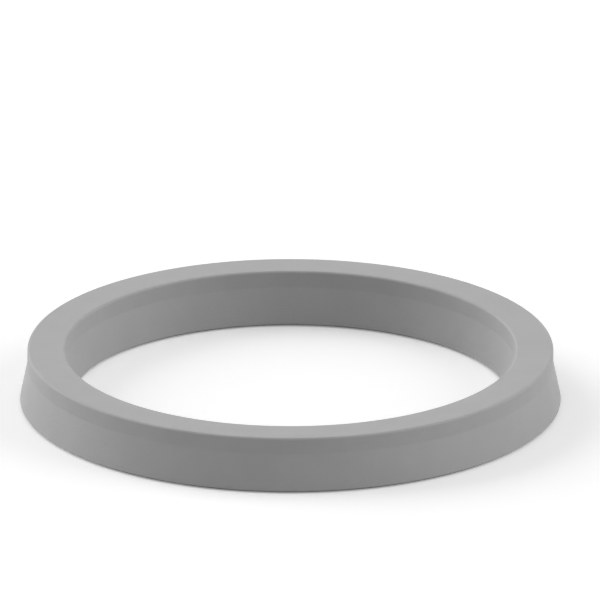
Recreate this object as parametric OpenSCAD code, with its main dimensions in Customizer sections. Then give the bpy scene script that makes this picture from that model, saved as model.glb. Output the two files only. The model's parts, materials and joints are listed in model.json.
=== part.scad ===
// Wiper seal with a U-cup section: one moulded ring with a solid heel and two flared lips.
// The axis is +Z. The heel's flat face is on top, and the lip edges stand on z = 0.

/* [Ring] */
// Diameter of the rod that the seal wipes, which is the bore of its heel
rod_d = 76.2; // [40:0.1:160]
// Radial width of the heel, which is the depth of the groove that the seal sits in
section_w = 6.35; // [5.6:0.05:8]
// Overall height, from the lip edges to the heel's flat face
seal_h = 9.525; // [8.6:0.025:14]

/* [Heel] */
// Thickness of solid heel between the flat face and the bottom of the U
heel_h = 3.62; // [3:0.02:4.2]
// Height of the straight band on the rod side of the heel
inner_band_h = 2.9; // [1.6:0.05:3.4]
// Height of the straight band on the housing side of the heel
outer_band_h = 2.9; // [1.6:0.05:3.4]
// Radius on the two edges of the heel's flat face
heel_edge_r = 0.4; // [0.2:0.05:0.8]

/* [Lips] */
// How far the free inner lip reaches in past the rod's surface
inner_flare = 1.24; // [0.6:0.02:1.8]
// How far the free outer lip reaches out past the housing's bore
outer_flare = 1.24; // [0.6:0.02:1.8]
// Radial width of each lip at its trimmed end
tip_w = 0.74; // [0.5:0.02:1.1]
// Angle of the trimmed end, measured from flat
tip_angle = 33; // [15:1:45]

/* [Groove] */
// Radius of the round bottom of the U between the lips
groove_r = 2.05; // [1.6:0.05:2.4]

/* [Hidden] */
$fn = 180;

// Radius of the middle of the section, where the U has its centre line
mid_r = (rod_d + section_w) / 2;
half_w = section_w / 2;
// Rise of the trimmed end, from its low inner corner to its sealing edge
tip_rise = tip_w * tan(tip_angle);
// Height of the centre of the round groove bottom
groove_z = seal_h - heel_h - groove_r;
// How far the outline that rounds the heel's edges runs past the faces that it cuts
past = 1;
// How far the upper end of a groove flank is set inside the round bottom, so that the two always meet
lap = 0.002;

// Distance from the section's middle to the sealing edge of a lip
function reach(flare) = half_w + flare;

// Distance from the section's middle to the low inner corner of a lip
function mouth(flare) = reach(flare) - tip_w;

// Slope from vertical of the groove flank that runs from a lip's low corner to the round bottom,
// which it meets as a tangent
function flank_angle(flare) =
    atan(mouth(flare) / groove_z) - asin(groove_r / norm([mouth(flare), groove_z]));

// Distance from the middle to the upper end of that flank, and its height
function flank_top(flare) = (groove_r - lap) * cos(flank_angle(flare));
function flank_top_z(flare) = groove_z + (groove_r - lap) * sin(flank_angle(flare));

// Section with straight sides: heel, bands, flared lips, trimmed ends and groove flanks.
// x is the distance from the section's middle, and the rod is on the side of negative x.
module outline() {
    polygon([
        [-half_w, seal_h],
        [-half_w, seal_h - inner_band_h],
        [-reach(inner_flare), tip_rise],
        [-mouth(inner_flare), 0],
        [-flank_top(inner_flare), flank_top_z(inner_flare)],
        [flank_top(outer_flare), flank_top_z(outer_flare)],
        [mouth(outer_flare), 0],
        [reach(outer_flare), tip_rise],
        [half_w, seal_h - outer_band_h],
        [half_w, seal_h]
    ]);
}

// Round bottom of the U, where both flanks end
module groove_bottom() {
    translate([0, groove_z])
        circle(groove_r);
}

// What comes off one corner of the heel's flat face to leave a round edge
module heel_corner() {
    translate([half_w - heel_edge_r, seal_h - heel_edge_r])
        difference() {
            square(heel_edge_r + past);
            circle(heel_edge_r);
        }
}

module seal_ring() {
    color([0.67, 0.67, 0.67])
        rotate_extrude()
            translate([mid_r, 0])
                difference() {
                    outline();
                    groove_bottom();
                    heel_corner();
                    mirror([1, 0])
                        heel_corner();
                }
}

seal_ring();
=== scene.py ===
# %% [markdown]
# # A wiper seal, made the way its mould is made
#
# A wiper seal is a ring of rubber that sits in a groove of a cylinder's housing and hugs the
# rod. This one has a U-shaped section. A solid heel lies on top, and two thin lips stand below
# it. The lips lean out of the ring's own width, so the rod and the housing always press them
# back and the seal stays tight.
#
# The real ring is one moulding, so this lesson makes one piece. The toolmaker draws the
# section once and turns it once about the ring's axis, and so do we.

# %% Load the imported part
import json
from math import asin, atan2, cos, degrees, hypot, pi, radians, sin, tan

import bpy
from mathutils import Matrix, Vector


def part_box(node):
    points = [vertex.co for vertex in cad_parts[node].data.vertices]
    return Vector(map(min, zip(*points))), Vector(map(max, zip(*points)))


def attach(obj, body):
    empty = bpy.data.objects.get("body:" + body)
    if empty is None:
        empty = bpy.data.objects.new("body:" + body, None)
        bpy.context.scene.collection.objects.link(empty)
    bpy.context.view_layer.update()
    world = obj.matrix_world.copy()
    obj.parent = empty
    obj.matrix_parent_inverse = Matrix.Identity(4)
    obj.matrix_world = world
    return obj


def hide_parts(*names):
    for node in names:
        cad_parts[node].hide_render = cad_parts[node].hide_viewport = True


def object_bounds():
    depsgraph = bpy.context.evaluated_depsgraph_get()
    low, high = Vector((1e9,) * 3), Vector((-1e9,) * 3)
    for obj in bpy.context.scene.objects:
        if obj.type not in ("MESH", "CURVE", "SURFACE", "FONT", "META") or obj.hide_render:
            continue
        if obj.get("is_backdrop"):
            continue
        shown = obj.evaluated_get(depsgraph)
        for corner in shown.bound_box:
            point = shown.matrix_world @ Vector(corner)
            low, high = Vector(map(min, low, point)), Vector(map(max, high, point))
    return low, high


MM = 0.001  # Blender counts in metres, and a seal is measured in millimetres

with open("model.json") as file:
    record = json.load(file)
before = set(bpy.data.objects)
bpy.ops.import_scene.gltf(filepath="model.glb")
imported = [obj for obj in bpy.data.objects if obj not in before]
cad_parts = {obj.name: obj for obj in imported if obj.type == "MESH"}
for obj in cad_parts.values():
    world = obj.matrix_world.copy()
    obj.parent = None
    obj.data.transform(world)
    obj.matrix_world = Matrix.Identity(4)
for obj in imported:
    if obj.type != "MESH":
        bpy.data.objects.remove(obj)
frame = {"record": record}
cad_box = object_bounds()
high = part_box("seal_ring")[1]  # the highest corner of its box
scene = bpy.context.scene
bpy.ops.object.select_all(action="DESELECT")

# %% [markdown]
# ## The camera
#
# The drawing shows the ring in parallel projection, with no perspective, from 20 degrees
# above the horizon. A camera with perspective would come near to it from far away. An
# orthographic camera does exactly the same, so it is used. Two measures taken from the drawing
# set it: how many millimetres a pixel covers, and the pixel where the centre of the heel's
# flat face lies. From these follows the point that the camera has to look at.

# %% Camera
PICTURE_PX = 600
MM_PER_PX = 0.16898
HEEL_CENTRE_PX = Vector((290.4, 348.3))  # across and down, in the drawing
LOOK_DOWN = radians(20)
CAMERA_AWAY = 0.6  # in metres, and in parallel projection any distance gives the same picture
CAMERA_RANGE = (0.01, 10)  # nearest and farthest that it sees, in metres

picture_centre = Vector((PICTURE_PX, PICTURE_PX)) / 2
offset = (picture_centre - HEEL_CENTRE_PX) * MM_PER_PX * MM  # from the heel's centre, right and down
picture_right = Vector((1, 0, 0))
picture_up = Vector((0, sin(LOOK_DOWN), cos(LOOK_DOWN)))
to_camera = Vector((0, -cos(LOOK_DOWN), sin(LOOK_DOWN)))
aim = Vector((0, 0, high.z)) + picture_right * offset.x - picture_up * offset.y

camera = bpy.data.objects.new("camera", bpy.data.cameras.new("camera"))
scene.collection.objects.link(camera)
camera.data.type = "ORTHO"
camera.data.ortho_scale = PICTURE_PX * MM_PER_PX * MM
camera.data.clip_start, camera.data.clip_end = CAMERA_RANGE
camera.location = aim + to_camera * CAMERA_AWAY
camera.rotation_euler = to_camera.to_track_quat("Z", "Y").to_euler()
scene.camera = camera
print(f"the picture is {camera.data.ortho_scale / MM:.1f} mm wide")

# %% [markdown]
# ## The ring's sizes
#
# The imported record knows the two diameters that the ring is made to: the rod's, and the
# housing's. The box of the CAD solid gives its height, and how far the outer lip reaches.
# These could be typed in again, but a size that is written twice can end up with two values.
# Only the sizes inside the section, which the record doesn't give, are written here.
#
# The section is the same on both sides of its middle, so only half of it is measured, as a
# distance out from that middle and a height above the lips.

# %% Sizes from the record
def mount_radius(name):
    """The radius, in metres, of one of the record's round mounts."""
    mount = next(m for m in frame["record"]["mounts"] if m["name"] == name)
    return mount["dims"]["r_mm"] * MM


rod_r = mount_radius("rod_bore")
housing_r = mount_radius("housing_fit")
mid_r = (rod_r + housing_r) / 2
half_w = (housing_r - rod_r) / 2
seal_h = high.z
lip_reach = high.x - mid_r
print(f"bore {2 * rod_r / MM:.2f} mm, heel {2 * half_w / MM:.2f} mm wide, height {seal_h / MM:.3f} mm")
print(f"each lip reaches {(lip_reach - half_w) / MM:.2f} mm past the heel")

# %% Sizes of the section
HEEL_H = 3.62 * MM  # solid rubber between the flat face and the bottom of the U
BAND_H = 2.9 * MM  # straight side of the heel, before the lip starts to lean out
GROOVE_R = 2.05 * MM  # round bottom of the U
TIP_W = 0.74 * MM  # width of the trimmed end of a lip
TIP_ANGLE = radians(33)  # slope of that end, from flat

groove_top = seal_h - HEEL_H
groove_z = groove_top - GROOVE_R
mouth = lip_reach - TIP_W
tip_rise = TIP_W * tan(TIP_ANGLE)
# The flank of the U leaves the lip's low corner and touches the round bottom
flank_lean = atan2(mouth, groove_z) - asin(GROOVE_R / hypot(mouth, groove_z))
flank_meets_top = mouth - groove_top * tan(flank_lean)
print(f"the flanks lean {degrees(flank_lean):.1f} degrees, and the lip tips rise {tip_rise / MM:.2f} mm")

# %% [markdown]
# ## The section's corners
#
# Each corner has a radius. The heel's upper edge is rounded by 0.4 mm, which shows as a soft
# line of light. The break between the straight band and the lip is crisp. The lip ends are
# trimmed with a knife after moulding, so their edges are as sharp as rubber can be: even
# those get a radius, because an edge with none never catches the light as a real one does.
#
# The bottom of the U is a corner too, where the flank would meet the level of the groove's
# highest point. Its radius is so large that the round goes all the way to the middle.

# %% Corners of half a section
HEEL_EDGE_R = 0.4 * MM
BREAK_R = 0.12 * MM  # between the band and the lip
SEALING_EDGE_R = 0.045 * MM
FOOT_R = 0.04 * MM  # the low inner corner of the lip, on which the ring stands

# (distance out from the middle, height, radius, steps in the round)
corners = [
    (half_w, seal_h, HEEL_EDGE_R, 10),
    (half_w, seal_h - BAND_H, BREAK_R, 3),
    (lip_reach, tip_rise, SEALING_EDGE_R, 4),
    (mouth, 0, FOOT_R, 5),
    (flank_meets_top, groove_top, GROOVE_R, 26),
]
print(len(corners), "corners from the heel's flat face to the bottom of the U")

# %% [markdown]
# ## Drawing the section
#
# By hand, this is drawn with one point and two tools. A plane is merged to a single point at
# the middle of the heel's face. Extrude then draws each straight side, and Spin swings the
# last point round each corner's centre, which gives true arcs where a bevel gives only
# nearly round ones on corners that aren't square.
#
# Every straight side also gets a point close to each end. These hold the shading: smooth
# normals then bend only in the rounds, and the flat sides stay flat.

# %% One point to start from
bpy.ops.mesh.primitive_plane_add(size=MM, location=(mid_r, 0, seal_h), calc_uvs=False)
ring = bpy.context.object
ring.name = ring.data.name = "moulded_ring"
bpy.ops.object.mode_set(mode="EDIT")
bpy.ops.mesh.select_all(action="SELECT")
bpy.ops.mesh.merge(type="CENTER")
print(f"the section starts {mid_r / MM:.3f} mm from the axis")

# %% Two strokes of the pen
# The pen is where the last point is, as a distance out from the middle and a height. Each
# stroke gives back where it leaves the pen.
HOLD = 0.05 * MM  # how close to its ends a side gets its holding points


def draw_straight(pen, goal):
    """Extrude the last point to goal, with a holding point near each end of a long side."""
    side = goal - pen
    stops = [goal]
    if side.length > 4 * HOLD:
        edge = side.normalized() * HOLD
        stops = [pen + edge, goal - edge, goal]
    for stop in stops:
        step = stop - pen
        bpy.ops.mesh.extrude_region_move(TRANSFORM_OT_translate={"value": (step.x, 0, step.y)})
        pen = stop
    return pen


def draw_round(pen, corner, radius, steps, leave):
    """Draw up to a corner and round it, to go on in the direction leave."""
    arrive = (corner - pen).normalized()
    turn = arrive.angle_signed(leave)  # above 0 is clockwise
    tangent = radius * tan(abs(turn) / 2)
    pen = draw_straight(pen, corner - arrive * tangent)
    clockwise = turn > 0
    inward = Vector((arrive.y, -arrive.x)) * (1 if clockwise else -1)
    centre = pen + inward * radius
    bpy.ops.mesh.spin(
        steps=steps,
        angle=abs(turn),
        center=(mid_r + centre.x, 0, centre.y),
        axis=(0, -1 if clockwise else 1, 0),
    )
    return corner + leave * tangent


# %% Draw half the section
pen = Vector((0, seal_h))
points = [Vector(c[:2]) for c in corners] + [Vector((0, groove_top))]
for (x, z, radius, steps), here, after in zip(corners, points, points[1:]):
    pen = draw_round(pen, here, radius, steps, (after - here).normalized())
    print(f"corner at {x / MM:.2f}, {z / MM:.2f} mm: now at {pen.x / MM:.3f}, {pen.y / MM:.3f}")
bpy.ops.object.mode_set(mode="OBJECT")
print(len(ring.data.vertices), "points in half a section")
print(f"the last one is {(pen - points[-1]).length / MM:.6f} mm from the middle of the U")

# %% [markdown]
# ## Marks for the finish
#
# The finish needs to know where on the section a spot lies: the lines that a turned mould
# leaves run round the ring, so they change only along the section. A material could hardly
# work that out from a place in space, because lips and groove lie at the same heights. So the
# distance is measured now, while the section is a simple chain of points, and kept as an
# attribute. The modifiers that come next copy attributes with the points, so every part of
# the ring will have it. A second attribute marks the trimmed ends of the lips, which a knife
# has cut.
#
# Extrude and Spin don't number the points in the order in which they were drawn, so the
# chain is followed from point to point by its edges.

# %% Follow the section
drawn = ring.data.vertices
neighbours = {v.index: [] for v in drawn}
for edge in ring.data.edges:
    one, other = edge.vertices
    neighbours[one].append(other)
    neighbours[other].append(one)

chain = [min(neighbours, key=lambda i: drawn[i].co.length)]
while onward := [i for i in neighbours[chain[-1]] if i not in chain]:
    chain += onward
print("the chain goes through", len(chain), "of", len(drawn), "points")

# %% Attributes on the section
along = [0.0] * len(drawn)
for before, after in zip(chain, chain[1:]):
    along[after] = along[before] + (drawn[after].co - drawn[before].co).length
half_length = along[chain[-1]]

sealing_edge = Vector((lip_reach, 0, tip_rise - seal_h))
edge_at = min(range(len(chain)), key=lambda i: (drawn[chain[i]].co - sealing_edge).length)
foot_at = min(range(len(chain)), key=lambda i: drawn[chain[i]].co.z)
trimmed = [0.0] * len(drawn)
for index in chain[edge_at : foot_at + 1]:
    trimmed[index] = 1.0

for name, values in (("along", along), ("trimmed", trimmed)):
    mark = ring.data.attributes.new(name, "FLOAT", "POINT")
    mark.data.foreach_set("value", values)
print(f"half the section is {half_length / MM:.2f} mm long, {sum(trimmed):.0f} points are trimmed")

# %% [markdown]
# ## The other half, and the turn
#
# A Mirror modifier makes the rod side from the housing side, because this seal wipes the
# same way on both. Then the section's place is applied, so that the ring's own origin is on
# the axis, and a Screw modifier turns it once round. Spin, which drew the rounds, could make
# the ring too, but its two ends would have to be welded, and with a whole chain of points it
# numbers the faces differently in each run. Screw closes the ring by itself, and makes the
# same mesh every time. The turn has enough steps that the outline looks round from close by.

# %% Mirror the section
WELD = 0.001 * MM  # points of the two halves that are closer than this become one

mirror = ring.modifiers.new("rod side", "MIRROR")
mirror.use_axis = (True, False, False)
mirror.merge_threshold = WELD
bpy.ops.object.modifier_apply(modifier=mirror.name)
bpy.ops.object.transform_apply(location=True, rotation=True, scale=True)
print(len(ring.data.vertices), "points in the whole section")

# %% Turn it about the axis
TURN_STEPS = 384
SHARP = radians(35)  # no edge of the ring is bent as much as this, so all of it is smooth

screw = ring.modifiers.new("once round", "SCREW")
screw.axis = "Z"
screw.angle = 2 * pi
screw.steps = screw.render_steps = TURN_STEPS
bpy.ops.object.modifier_apply(modifier=screw.name)

bpy.ops.object.mode_set(mode="EDIT")
bpy.ops.mesh.select_all(action="SELECT")
bpy.ops.mesh.normals_make_consistent(inside=False)
bpy.ops.object.mode_set(mode="OBJECT")
bpy.ops.object.shade_smooth_by_angle(angle=SHARP)
print(len(ring.data.polygons), "faces in the ring")

# %% [markdown]
# ## A map for a baked finish
#
# When the finish is baked, it is painted into a picture, so the ring needs a map that says which
# part of the picture belongs where. Smart UV Project could make one, in many small patches with a seam
# round each. A ring unrolls into a neat strip by itself: round the ring one way, along the
# section the other. Two half rings, one above the other, nearly fill a square.

# %% Unroll the ring
MAP_GAP = 0.002  # bare edge round each strip

mesh = ring.data
unrolled = mesh.uv_layers.new(name="OFBake")
distance = mesh.attributes["along"].data
for face in mesh.polygons:
    face_turn = atan2(face.center.y, face.center.x) % (2 * pi)
    strip = int(face_turn // pi)
    side = 1 if hypot(face.center.x, face.center.y) > mid_r else -1
    for corner in face.loop_indices:
        vertex = mesh.loops[corner].vertex_index
        place = mesh.vertices[vertex].co
        turn = atan2(place.y, place.x)
        turn += 2 * pi * round((face_turn - turn) / (2 * pi))
        across = (turn - strip * pi) / pi
        up = 0.5 - side * distance[vertex].value / half_length / 2
        unrolled.uv[corner].vector = (
            MAP_GAP + across * (1 - 2 * MAP_GAP),
            (strip + MAP_GAP + up * (1 - 2 * MAP_GAP)) / 2,
        )
print("the map holds", len(unrolled.uv), "corners")

# %% [markdown]
# ## Helpers for materials
#
# Every material here is a tree of nodes, made in code. By hand, a node is added, dragged to its
# place, and its sockets are joined by dragging too. Small helpers do the same: one adds a node
# with its settings, three more add the kinds that are used most, and the last one draws the
# links. Every node gets a column and a row, so that the tree is tidy when it is opened in the
# node editor.

# %% Helpers for nodes
COLUMN, ROW = 220, -260  # steps in the node editor
WHITE = (1, 1, 1, 1)


def new_material(name):
    """A material with an empty node tree."""
    material = bpy.data.materials.new(name)
    material.use_nodes = True
    material.node_tree.nodes.clear()
    return material


def place_node(tree, kind, column, row, label="", **settings):
    """Add a node at a place in the editor, with its settings and its unlinked inputs."""
    node = tree.nodes.new(kind)
    node.location = (column * COLUMN, row * ROW)
    node.label = label
    for name, value in settings.items():
        if hasattr(node, name):
            setattr(node, name, value)
        else:
            node.inputs[name].default_value = value
    return node


def place_noise(tree, column, row, label, **settings):
    """Add a Noise Texture node."""
    return place_node(tree, "ShaderNodeTexNoise", column, row, label, **settings)


def place_maths(tree, column, row, label, operation, second=None, third=None):
    """Add a Math node, with the second and third of its numbers where they aren't linked."""
    node = place_node(tree, "ShaderNodeMath", column, row, label, operation=operation)
    for place, value in ((1, second), (2, third)):
        if value is not None:
            node.inputs[place].default_value = value
    return node


def place_range(tree, column, row, label, given, wanted, **settings):
    """Add a Map Range node that takes the span given to the span wanted, each (least, most)."""
    node = place_node(tree, "ShaderNodeMapRange", column, row, label, **settings)
    for name, value in zip(("From Min", "From Max", "To Min", "To Max"), given + wanted):
        node.inputs[name].default_value = value
    return node


def join(tree, *pairs):
    """Link pairs of sockets."""
    for start, end in pairs:
        tree.links.new(start, end)


# %% [markdown]
# ## The rubber
#
# The drawing shows an even, neutral mid grey with no gloss. Moulded rubber looks like that
# when it is new: a satin skin, a very fine grain from the mould's surface, and faint lines
# that run round the ring, left by the tool that turned the mould. The compound is mixed in a
# mill and is never quite even, so its grey drifts by a per cent or two over some millimetres.
# The trimmed ends of the lips have no mould skin. The knife leaves them smoother.
#
# A photograph of rubber could be laid over the ring, but it would have a seam, and from close
# by it would blur. Noises have no seam and stay sharp. Those that fill space read Object
# coordinates. The mould's lines read the distance along the section, so that they run round
# the ring.

# %% The rubber's patterns
GREY = 0.43
DRIFT = 0.02  # share of the grey by which the compound drifts either way
NOISE_SPAN = (0.3, 0.7)  # nearly all of a noise lies between these

# How many swells of a noise fit in a metre, or for the lines in a millimetre of the section
DRIFT_PER_M = 230
GRAIN_PER_M = 2300
WAVES_PER_M = 110
LINES_PER_MM = 2.6

rubber = new_material("moulded_rubber")
tree = rubber.node_tree
where = place_node(tree, "ShaderNodeTexCoord", 0, 1)
along_node = place_node(tree, "ShaderNodeAttribute", 0, 3, attribute_name="along")
cut_node = place_node(tree, "ShaderNodeAttribute", 0, 5, attribute_name="trimmed")
along_mm = place_maths(tree, 1, 3, "along in mm", "MULTIPLY", 1 / MM)

# Cloudy drift of the compound's grey, a few millimetres across
drift = place_noise(tree, 1, 0, "drift", Scale=DRIFT_PER_M, Detail=3, Roughness=0.55)
grey = place_range(tree, 2, 0, "grey", NOISE_SPAN, (GREY * (1 - DRIFT), GREY * (1 + DRIFT)))

# Fine grain of the mould's surface
grain = place_noise(tree, 1, 1, "grain", Scale=GRAIN_PER_M, Detail=3, Roughness=0.6)

# Slow waves of a surface that shrank a little as it cooled
waves = place_noise(tree, 1, 2, "shrinkage", Scale=WAVES_PER_M, Detail=1, Roughness=0.4)

# Lines of the turned mould: noise that changes only along the section
lines = place_noise(tree, 2, 3, "mould lines", Scale=LINES_PER_MM, Detail=4, Roughness=0.7)
lines.noise_dimensions = "1D"

join(
    tree,
    (where.outputs["Object"], drift.inputs["Vector"]),
    (where.outputs["Object"], grain.inputs["Vector"]),
    (where.outputs["Object"], waves.inputs["Vector"]),
    (drift.outputs["Fac"], grey.inputs["Value"]),
    (along_node.outputs["Fac"], along_mm.inputs[0]),
    (along_mm.outputs[0], lines.inputs["W"]),
)
print(len(tree.nodes), "nodes make the patterns")

# %% [markdown]
# The three heights are added in micrometres, so that each keeps its real size. A noise uses
# about the middle 0.4 of its span, so the grain is some fifteen micrometres from its lows to
# its highs, and the lines are some six. The shrinkage waves are deeper, but so long that they
# bend the light only a little. Grain and lines are nearly gone from the trimmed ends.
#
# Heights as small as these would need millions of faces if the mesh had to show them. A Bump
# node only turns the light, as they would, and one of them takes the sum.

# %% Heights in micrometres
UM = 0.001 * MM
GRAIN_UM = 36
LINES_UM = 14
WAVES_UM = 80
CUT_AWAY = 0.8  # share of grain and lines that the knife takes off

moulded = place_maths(tree, 1, 5, "moulded skin", "MULTIPLY_ADD", -CUT_AWAY, 1)
grain_um = place_maths(tree, 3, 1, "grain", "MULTIPLY", GRAIN_UM)
lines_um = place_maths(tree, 3, 3, "and lines", "MULTIPLY_ADD", LINES_UM)
skin_um = place_maths(tree, 4, 2, "skin", "MULTIPLY")
height_um = place_maths(tree, 5, 2, "and waves", "MULTIPLY_ADD", WAVES_UM)
bump = place_node(tree, "ShaderNodeBump", 6, 2, "surface", Distance=UM, Strength=1)

join(
    tree,
    (cut_node.outputs["Fac"], moulded.inputs[0]),
    (grain.outputs["Fac"], grain_um.inputs[0]),
    (lines.outputs["Fac"], lines_um.inputs[0]),
    (grain_um.outputs[0], lines_um.inputs[2]),
    (lines_um.outputs[0], skin_um.inputs[0]),
    (moulded.outputs[0], skin_um.inputs[1]),
    (waves.outputs["Fac"], height_um.inputs[0]),
    (skin_um.outputs[0], height_um.inputs[2]),
    (height_um.outputs[0], bump.inputs["Height"]),
)
print(f"grain {GRAIN_UM}, lines {LINES_UM} and waves {WAVES_UM} micrometres, times their noise")

# %% Roughness and the shader
SATIN = (0.6, 0.68)  # least and most roughness of the moulded skin
KNIFE_SHINE = 0.14  # how much smoother the knife's cut is

satin = place_range(tree, 3, 0, "satin", NOISE_SPAN, SATIN)
smoother = place_maths(tree, 5, 0, "knife cut", "MULTIPLY_ADD", -KNIFE_SHINE)
shader = place_node(tree, "ShaderNodeBsdfPrincipled", 7, 1, Metallic=0, IOR=1.5)
output = place_node(tree, "ShaderNodeOutputMaterial", 8, 1)
join(
    tree,
    (waves.outputs["Fac"], satin.inputs["Value"]),
    (cut_node.outputs["Fac"], smoother.inputs[0]),
    (satin.outputs["Result"], smoother.inputs[2]),
    (grey.outputs["Result"], shader.inputs["Base Color"]),
    (smoother.outputs[0], shader.inputs["Roughness"]),
    (bump.outputs["Normal"], shader.inputs["Normal"]),
    (shader.outputs["BSDF"], output.inputs["Surface"]),
)
ring.data.materials.append(rubber)
print(len(tree.nodes), "nodes in the rubber")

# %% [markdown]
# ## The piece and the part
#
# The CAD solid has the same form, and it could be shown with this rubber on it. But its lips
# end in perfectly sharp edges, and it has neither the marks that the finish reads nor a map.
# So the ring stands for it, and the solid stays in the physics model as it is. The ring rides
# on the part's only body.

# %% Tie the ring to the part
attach(ring, "root")
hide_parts("seal_ring")
print(ring.name, "stands for seal_ring")

# %% [markdown]
# ## White without more light
#
# The background is white, but the ring must not be lit by all that white, or its walls would
# lose the drawing's darker front. Cycles can tell rays apart. Those that come from the camera,
# directly or by way of a mirror or a glass, see white. All others, which only carry light
# from one thing to another, find something darker.

# %% A socket that tells the rays apart
def rays_that_see(tree, row):
    """A socket that is 1 for rays that see a thing and 0 for rays that only carry light."""
    path = place_node(tree, "ShaderNodeLightPath", 0, row)
    seen = place_maths(tree, 1, row, "camera or glossy", "MAXIMUM")
    seen_all = place_maths(tree, 2, row, "or through glass", "MAXIMUM")
    join(
        tree,
        (path.outputs["Is Camera Ray"], seen.inputs[0]),
        (path.outputs["Is Glossy Ray"], seen.inputs[1]),
        (seen.outputs[0], seen_all.inputs[0]),
        (path.outputs["Is Transmission Ray"], seen_all.inputs[1]),
    )
    return seen_all.outputs[0]


# %% [markdown]
# ## The floor
#
# The ring stands on a plain floor that is white where nothing shades it, and keeps the ring's
# soft shadow. A white Diffuse shader takes the shadow, and a little glow brings the rest up to
# white. Far from the ring the floor turns into plain white light, so that no horizon shows.

# %% Floor
FLOOR_SIZE = 6
FLOOR_RETURNS = 0.65  # share of the light that it sends back to the ring
FLOOR_GLOW = 0.2  # brings the lit floor up to white for the camera
SHADOW_REACH = (0.12, 0.35)  # from the axis, where the floor turns from shaded to plain

bpy.ops.object.select_all(action="DESELECT")
bpy.ops.mesh.primitive_plane_add(size=FLOOR_SIZE, location=(0, 0, 0))
floor = bpy.context.object
floor.name = floor.data.name = "floor"
paper = new_material("floor_white")
floor.data.materials.append(paper)
tree = paper.node_tree

sees = rays_that_see(tree, 0)
spot = place_node(tree, "ShaderNodeTexCoord", 0, 2)
away = place_node(tree, "ShaderNodeVectorMath", 1, 2, "from the axis", operation="LENGTH")
fade = place_range(tree, 2, 2, "far away", SHADOW_REACH, (0, 1), interpolation_type="SMOOTHSTEP")
lit = place_node(tree, "ShaderNodeBsdfDiffuse", 1, 3, Color=WHITE)
glow = place_node(tree, "ShaderNodeEmission", 1, 4, Color=WHITE, Strength=FLOOR_GLOW)
shadowed = place_node(tree, "ShaderNodeAddShader", 2, 3)
plain = place_node(tree, "ShaderNodeEmission", 2, 4, Color=WHITE, Strength=1)
returned = place_node(tree, "ShaderNodeBsdfDiffuse", 3, 1, Color=(FLOOR_RETURNS,) * 3 + (1,))
shown = place_node(tree, "ShaderNodeMixShader", 3, 3)
either = place_node(tree, "ShaderNodeMixShader", 4, 1)
result = place_node(tree, "ShaderNodeOutputMaterial", 5, 1)
join(
    tree,
    (spot.outputs["Object"], away.inputs[0]),
    (away.outputs["Value"], fade.inputs["Value"]),
    (fade.outputs["Result"], shown.inputs["Fac"]),
    (lit.outputs["BSDF"], shadowed.inputs[0]),
    (glow.outputs["Emission"], shadowed.inputs[1]),
    (shadowed.outputs["Shader"], shown.inputs[1]),
    (plain.outputs["Emission"], shown.inputs[2]),
    (sees, either.inputs["Fac"]),
    (returned.outputs["BSDF"], either.inputs[1]),
    (shown.outputs["Shader"], either.inputs[2]),
    (either.outputs["Shader"], result.inputs["Surface"]),
)
floor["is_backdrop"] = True
print(f"the floor is {FLOOR_SIZE} m wide")

# %% [markdown]
# ## The light
#
# The drawing's top faces are light, its left and right sides nearly as light, and its front
# darker. A wide lamp overhead and one on each side give that, with a little light from all
# round. Suns are used, as wide as big softboxes, because their light is even all over the
# floor, and area lamps would brighten the side that is near them.
#
# Light adds up, so the strengths needn't be guessed. They were fitted from each lamp's light
# alone, so that their sum comes nearest to the drawing's greys.

# %% Lamps
LAMP_AWAY = 1.5  # a sun shines the same from anywhere, so this only keeps the lamps out of the way
# (name, where it shines from as 0 for the right and 90 for the back, height, width, strength)
LAMPS = [
    ("overhead", 0, 90, 70, 0.17),
    ("left", 153, 25, 60, 0.64),
    ("right", 0, 25, 60, 0.43),
]
for name, turn, height, width, strength in LAMPS:
    lamp = bpy.data.objects.new(name, bpy.data.lights.new(name, "SUN"))
    scene.collection.objects.link(lamp)
    lamp.data.energy = strength * pi  # a white face that looks straight at pi W/m2 renders as 1
    lamp.data.angle = radians(width)
    turn, height = radians(turn), radians(height)
    source = Vector((cos(turn) * cos(height), sin(turn) * cos(height), sin(height)))
    lamp.rotation_euler = source.to_track_quat("Z", "Y").to_euler()
    lamp.location = source * LAMP_AWAY
    print(f"{name}: {lamp.data.energy:.2f} W/m2")

# %% World
AMBIENT = 0.22

world = bpy.data.worlds.new("studio")
scene.world = world
world.use_nodes = True
tree = world.node_tree
tree.nodes.clear()
sees = rays_that_see(tree, 0)
strength = place_range(tree, 3, 0, "ambient, or white", (0, 1), (AMBIENT, 1))
backdrop = place_node(tree, "ShaderNodeBackground", 4, 0, Color=WHITE)
result = place_node(tree, "ShaderNodeOutputWorld", 5, 0)
join(
    tree,
    (sees, strength.inputs["Value"]),
    (strength.outputs["Result"], backdrop.inputs["Strength"]),
    (backdrop.outputs["Background"], result.inputs["Surface"]),
)
scene.view_settings.view_transform = "Standard"
print(f"light from all round: {AMBIENT}")

# %% [markdown]
# ## Both sizes, at the end
#
# Looks must not change the part's size. Both boxes are printed side by side, so that they can
# be compared.

# %% Sizes and finish
visual_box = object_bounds()
for name, box in (("CAD", cad_box), ("visual", visual_box)):
    print(name, [[round(x / MM, 3) for x in corner] for corner in box])
